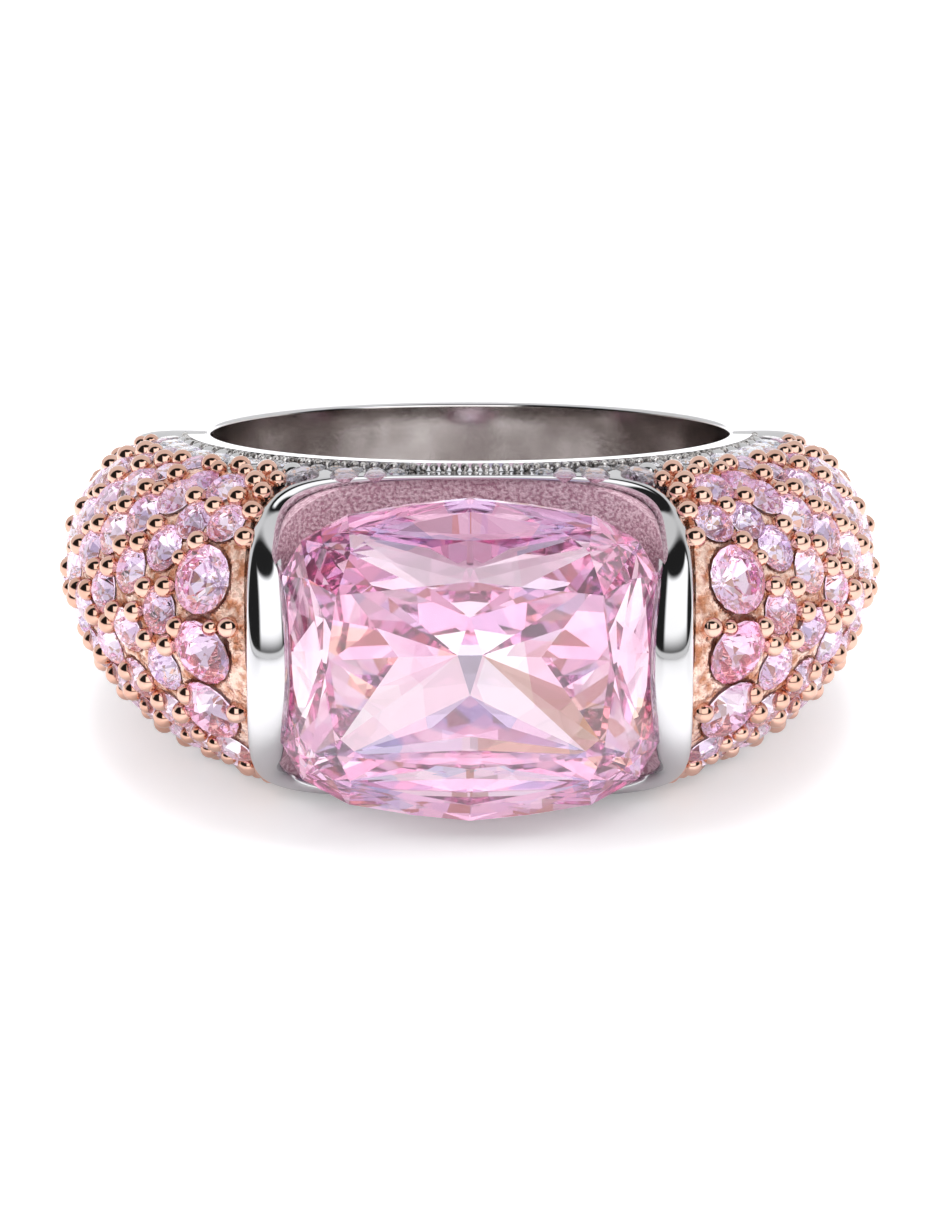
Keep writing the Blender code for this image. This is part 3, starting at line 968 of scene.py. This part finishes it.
def buildGrains(name, side, field):
    deselect()
    bpy.ops.mesh.primitive_uv_sphere_add(segments=12, ring_count=8, radius=1 * mm)
    pattern = bpy.context.object
    bpy.ops.object.mode_set(mode="EDIT")
    bpy.ops.mesh.select_all(action="SELECT")
    cut = (0, 0, -grain["cutBelow"])
    bpy.ops.mesh.bisect(plane_co=cut, plane_no=(0, 0, -1), use_fill=True, clear_outer=True)
    bpy.ops.object.mode_set(mode="OBJECT")
    polish(pattern, 70)
    gold, white = [], []
    for spot, radius in grainPlaces(*field):
        theta = math.atan2(side * spot[0], -spot[1])
        radial = math.hypot(spot[0], spot[1])
        base = (radial - pave["inner"]) / (crest(theta) - pave["sink"] - pave["inner"])
        lift = math.copysign(math.acos(min(1.0, max(0.0, base))), spot[2])
        here, out = plateFrame(side, theta, lift)
        edgeMade = abs(lift) > pave["whiteFrom"] * quarterTurn and radial < grain["whiteWithin"]
        rise = grain["whiteRise"] if edgeMade else grain["goldRise"]
        matrix = lie @ Matrix.Translation(here + out * rise) @ out.to_track_quat("Z", "Y").to_matrix().to_4x4()
        item = copyTo(pattern, matrix @ Matrix.Scale(radius / mm, 4))
        item.data.materials.clear()
        item.data.materials.append(whiteMetal if edgeMade else beadGold)
        (white if edgeMade else gold).append(item)
    bpy.data.objects.remove(pattern)
    settle(joined("grains" + name, gold), beadGold)
    if white:
        settle(joined("edgeGrains" + name, white), whiteMetal)
    print("grains", name, len(gold), len(white))


milgrain = {
    "radius": 0.14 * mm,
    "pitch": 0.33 * mm,
    "span": math.radians(90),
    "front": math.radians(33),
    "rows": [(9.50, -0.10), (9.60, -0.32)],  # radius and height from the side face, in millimetres
    "sink": 0.05 * mm,
}


def buildMilgrain():
    deselect()
    bpy.ops.mesh.primitive_uv_sphere_add(segments=8, ring_count=6, radius=milgrain["radius"])
    pattern = bpy.context.object
    polish(pattern, 80)
    for name, sign in (("Upper", 1), ("Lower", -1)):
        grains = []
        for row, (radius, drop) in enumerate(milgrain["rows"]):
            span = milgrain["span"] if row == 0 else milgrain["front"]
            count = int(2 * span * radius * mm / milgrain["pitch"])
            for step in range(count):
                theta = span * (2 * (step + 0.5 * row) / (count - 1) - 1)
                height = sign * (sideHeight(radius * mm, theta) + drop * mm - milgrain["sink"])
                grains.append(copyTo(pattern, lie @ Matrix.Translation(ringPoint(radius * mm, theta, height))))
        settle(joined("milgrain" + name, grains), ledgeMetal)
    bpy.data.objects.remove(pattern)


buildMilgrain()
cuts = {kind: buildBrilliant(kind) for kind in ("lavender pink", "deep pink", "colourless")}
print("brilliant facets", len(cuts["deep pink"].data.polygons))
for sideName, sideSign in (("Left", -1), ("Right", 1)):
    buildGrains(sideName, sideSign, buildShoulder(sideName, sideSign, cuts))
for cut in cuts.values():
    bpy.data.objects.remove(cut)
print("shoulders made")


floorLook = {"size": 3.0, "dark": (0.90, 0.895, 0.905, 1), "light": (0.93, 0.925, 0.935, 1), "cloudScale": 60.0,
             "rough": 0.35, "glow": 0.25}


def buildStage():
    deselect()
    bpy.ops.mesh.primitive_plane_add(size=floorLook["size"])
    floor = bpy.context.object
    floor.name = "floor"
    material, wire = newMaterial("pale floor")
    rays = wire.node("ShaderNodeLightPath")
    paper = noise(wire, floorLook["cloudScale"], 2.0)
    colour = blendColours(wire, paper, floorLook["dark"], floorLook["light"])
    base = wire.node("ShaderNodeBsdfPrincipled", None, {"Base Color": colour, "Roughness": floorLook["rough"]})
    strength = rays * floorLook["glow"]
    glow = wire.node("ShaderNodeEmission", None, {"Color": (1, 0.99, 1, 1), "Strength": strength})
    finishMaterial(wire, wire.node("ShaderNodeAddShader", None, {0: base, 1: glow}))
    floor.data.materials.append(material)


room = {
    # pairs are where a part of the room starts and where it is full, as a direction
    "floor": (0.05, 0.08),
    "front": (-0.16, -0.02),
    "wall": 0.84,
    "dark": 0.82,
    "boxMiddle": 0.20,
    "boxSide": (0.46, 0.60),
    "boxFoot": (0.02, 0.34),
    "boxTop": (0.85, 0.91),
    "boxFront": (0.0, 0.1),
    "boxLight": 1.5,
    "waves": (13.0, 7.0, 9.0),
    "gathered": 0.94,
    "gatheredDip": 0.40,
    "dull": 0.72,
    "warm": (1.0, 0.66, 0.46, 1),
    "cool": (0.88, 0.88, 1.0, 1),
}


def buildWorld():
    world = bpy.data.worlds.new("studio")
    bpy.context.scene.world = world
    world.use_nodes = True
    world.node_tree.nodes.clear()
    wire = Wire(world.node_tree)
    where = wire.node("ShaderNodeTexCoord")
    x, y, z = (wire.node("ShaderNodeSeparateXYZ", None, {0: where}, out=axis) for axis in range(3))
    # metal sees a dark room in front and overhead, a softbox by the viewer and a pale wall behind
    dark = z.rise(*room["floor"]) * (0.0 - y).rise(*room["front"])
    side = wire.node("ShaderNodeMath", {"operation": "ABSOLUTE"}, {0: x - room["boxMiddle"]})
    box = (1.0 - side.rise(*room["boxSide"])) * z.rise(*room["boxFoot"]) * (1.0 - z.rise(*room["boxTop"]))
    box = box * (0.0 - y).rise(*room["boxFront"])
    seen = room["wall"] - dark * room["dark"] + box * room["boxLight"]
    # stones gather light from all round, with a little warm and cool fire in it
    waves = room["waves"]
    bands = wire.node("ShaderNodeMath", {"operation": "SINE"}, {0: x * waves[0] + y * waves[1] + z * waves[2]})
    gathered = room["gathered"] - dark * bands.rise(0.0, 0.7) * room["gatheredDip"]
    fire = blendColours(wire, bands.rise(0.55, 0.95), (1, 1, 1, 1), room["warm"])
    fire = blendColours(wire, (0.0 - bands).rise(0.60, 0.98), fire, room["cool"])
    camera = wire.node("ShaderNodeLightPath", out=0)
    diffuse = wire.node("ShaderNodeLightPath", out=2)
    through = wire.node("ShaderNodeLightPath", out=6)
    level = diffuse * room["dull"] + (1.0 - diffuse) * (through * gathered + (1.0 - through) * seen)
    level = camera + (1.0 - camera) * level
    tint = blendColours(wire, through * (1.0 - camera), (1, 1, 1, 1), fire)
    shade = wire.node("ShaderNodeBackground", None, {"Color": tint, "Strength": level})
    wire.node("ShaderNodeOutputWorld", None, {"Surface": shade})


lamps = {
    "top": {"place": (0.0, 0.06, 0.26), "size": 0.16, "power": 0.55},
    "left": {"place": (-0.22, -0.06, 0.12), "size": 0.12, "power": 0.35},
    "right": {"place": (0.22, -0.04, 0.14), "size": 0.10, "power": 0.30},
}


def buildLamps():
    middle = (Vector(cadBox[0]) + Vector(cadBox[1])) / 2
    for name, lamp in lamps.items():
        light = bpy.data.lights.new(name, "AREA")
        light.size = lamp["size"]
        light.energy = lamp["power"]
        item = bpy.data.objects.new(name, light)
        bpy.context.scene.collection.objects.link(item)
        item.visible_glossy = False
        item.visible_transmission = False
        item.location = lamp["place"]
        item.rotation_euler = (middle - item.location).to_track_quat("-Z", "Y").to_euler()


cameraLook = {"elevation": math.radians(23.5), "distance": 0.275, "aimHeight": 0.00336, "lens": 244.3}


def buildCamera():
    data = bpy.data.cameras.new("camera")
    data.lens = cameraLook["lens"]
    data.clip_start = 0.01
    data.clip_end = 10
    item = bpy.data.objects.new("camera", data)
    bpy.context.scene.collection.objects.link(item)
    tilt = cameraLook["elevation"]
    back = Vector((0, -math.cos(tilt), math.sin(tilt)))
    item.location = Vector((0, 0, cameraLook["aimHeight"])) + back * cameraLook["distance"]
    item.rotation_euler = (quarterTurn - tilt, 0, 0)
    bpy.context.scene.camera = item


buildStage()
buildWorld()
buildLamps()
buildCamera()
scene = bpy.context.scene
scene.view_settings.view_transform = "Standard"
scene.cycles.max_bounces = 20
scene.cycles.glossy_bounces = 16
scene.cycles.transmission_bounces = 16
print("stage made")
